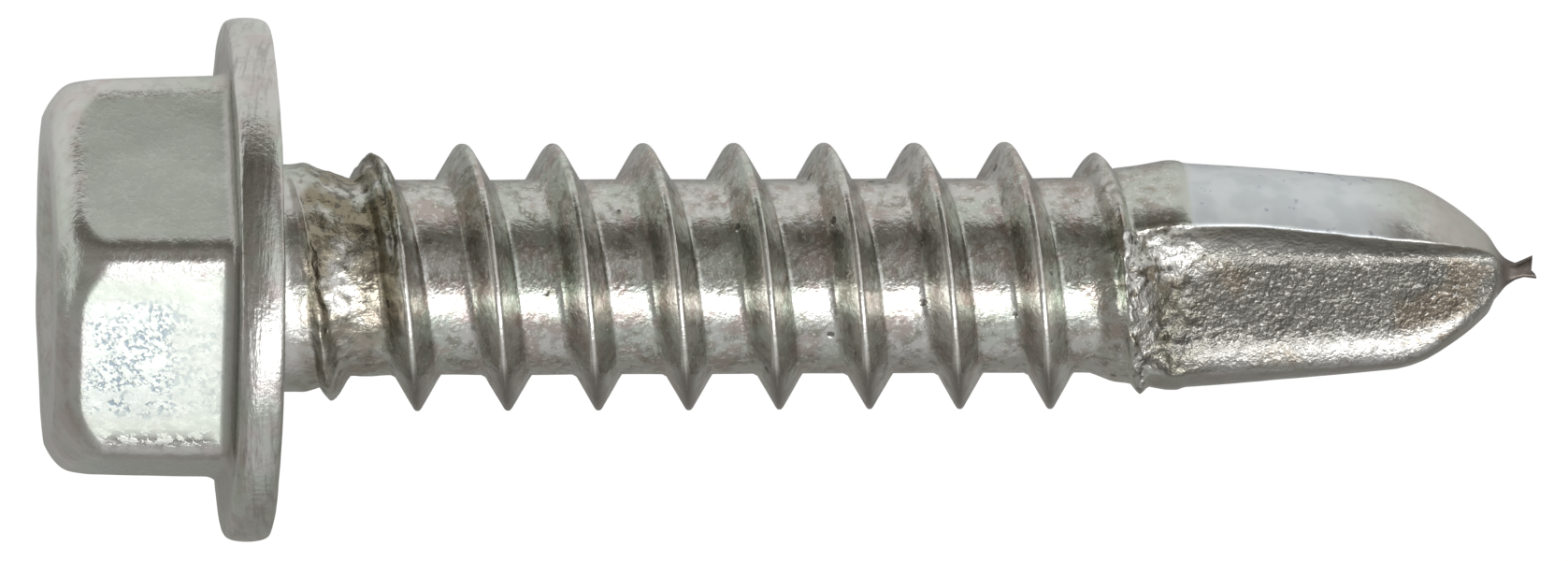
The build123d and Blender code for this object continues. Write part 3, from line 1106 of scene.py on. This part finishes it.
def makeFloor():
    # the camera sees mostly the floor's own white, with a faint shadow; metal sees mostly paper,
    # with painted shade on its -Y side, and the floor's white painted stronger on the +Y side
    # and past the head
    half = studio["floorSize"] / 2
    mesh = bpy.data.meshes.new("floor")
    corners = [(-half, -half, 0.0), (half, -half, 0.0), (half, half, 0.0), (-half, half, 0.0)]
    mesh.from_pydata(corners, [], [(0, 1, 2, 3)])
    floor = addObject("floor", mesh)
    material = bpy.data.materials.new("floor_paper")
    nodes = NodeTree(material)
    camera = nodes.add("LightPath", None, None, "Is Camera Ray")
    glossy = nodes.add("LightPath", None, None, "Is Glossy Ray")
    through = nodes.add("LightPath", None, None, "Is Transmission Ray")
    place = nodes.add("TexCoord", None, None, "Object")
    x, y = [nodes.add("SeparateXYZ", None, {0: place}, name) for name in "XY"]
    turn = studio["paperTurn"]
    far = nodes.between(-turn, turn, y)
    # the -Y half of the floor painted darker: painted shade, seen mostly in the metal
    colour = nodes.mix(far, studio["paintedShadePaper"], studio["farPaper"])
    seen = far * (studio["farShare"] - studio["nearShare"]) + studio["nearShare"]
    seen = seen + nodes.between(*studio["endTurn"], x) * studio["endShare"]
    # metal sees the floor's white by these shares: a painted reflection, brighter on the +Y side
    # and past the head
    share = camera * studio["cameraShare"] + (glossy + through) * seen
    paper = nodes.add("BsdfDiffuse", None, {"Color": colour})
    white = nodes.add("Emission", None, {"Strength": studio["floorWhite"]})
    mixed = nodes.add("MixShader", None, {0: share, 1: paper, 2: white})
    nodes.add("OutputMaterial", None, {"Surface": mixed})
    mesh.materials.append(material)


def makeRoom():
    # a grey room by direction: a ramp over atan2(-y, z), the angle round X, turning into another
    # one towards -X and a third towards +X; the camera sees it white
    room = bpy.data.worlds.new("room")
    bpy.context.scene.world = room
    nodes = NodeTree(room)
    direction = nodes.add("TexCoord", None, None, "Generated")
    x, y, z = [nodes.add("SeparateXYZ", None, {0: direction}, name) for name in "XYZ"]
    span = studio["roomSpan"]
    red, blue = studio["warmth"]
    angle = y.maths("ARCTAN2", y * -1.0, z) * (1.0 / math.radians(span)) + 0.5
    ramps = []
    for name in ("room", "left", "right"):
        stops = []
        for degrees, level in studio[name]:
            warm = smoothStep(*studio["warmLevels"], level)
            colour = (level * (1 + red * warm), level, level * (1 + blue * warm))
            stops.append((degrees / span + 0.5, colour))
        ramps.append(nodes.add("ValToRGB", {"stops": stops}, {"Fac": angle}))
    camera = nodes.add("LightPath", None, None, "Is Camera Ray")
    colour = nodes.layered(
        studio,
        ramps[0],
        (nodes.between(*studio["leftTurn"], x * -1.0), ramps[1]),
        (nodes.between(*studio["leftEndTurn"], x * -1.0), "leftEnd"),
        (nodes.between(*studio["rightTurn"], x), ramps[2]),
        (camera, (1.0, 1.0, 1.0, 1.0)),
    )
    background = nodes.add("Background", None, {"Color": colour})
    nodes.add("OutputWorld", None, {"Surface": background})


def makeLamps():
    # level rectangles above the screw, with their sides along X and Y
    for number, (place, size, power) in enumerate(studio["lamps"]):
        name = f"softbox_{number}"
        lamp = bpy.data.lights.new(name, "AREA")
        lamp.shape = "RECTANGLE"
        lamp.size, lamp.size_y = size
        lamp.energy = power
        addObject(name, lamp).location = place


makeFloor()
makeRoom()
makeLamps()
print("studio made")


# Camera

view = {
    "yaw": 5.31,
    "pitchAngle": -20.0,
    "roll": -0.203,
    "distance": 457.4,
    "focalPixels": 24466.0,
    "centreX": 819.94,
    "centreY": 295.58,
    "pivotStation": 10.0,
    "width": 1677,
    "height": 600,
}


def placeCamera():
    # it looks down on the screw, leaning yaw from the plane across it and standing at pitchAngle
    # round its axis; the lens is focalPixels * 36 mm / width of the picture
    yaw, pitch, roll = [math.radians(view[name]) for name in ("yaw", "pitchAngle", "roll")]
    distance = view["distance"]
    across = math.cos(pitch) * up + math.sin(pitch) * side
    toCamera = math.cos(yaw) * across - math.sin(yaw) * axis
    level = axis - toCamera * (axis @ toCamera)
    level = level / np.linalg.norm(level)
    upright = np.cross(toCamera, level)
    right = math.cos(roll) * level + math.sin(roll) * upright
    top = math.cos(roll) * upright - math.sin(roll) * level
    perPixel = distance / view["focalPixels"]
    place = view["pivotStation"] * axis + distance * toCamera
    place = place + right * (view["width"] / 2 - view["centreX"]) * perPixel
    place = place - top * (view["height"] / 2 - view["centreY"]) * perPixel
    camera = bpy.data.cameras.new("camera")
    camera.lens = view["focalPixels"] * 36.0 / view["width"]
    camera.clip_start = 0.01
    camera.clip_end = 10.0
    cameraObject = addObject("camera", camera)
    rotation = Matrix([list(right), list(top), list(toCamera)]).transposed().to_4x4()
    cameraObject.matrix_world = Matrix.Translation(Vector(origin + place * 0.001)) @ rotation
    bpy.context.scene.camera = cameraObject


placeCamera()
bpy.context.scene.view_settings.view_transform = "Standard"
print("camera placed")
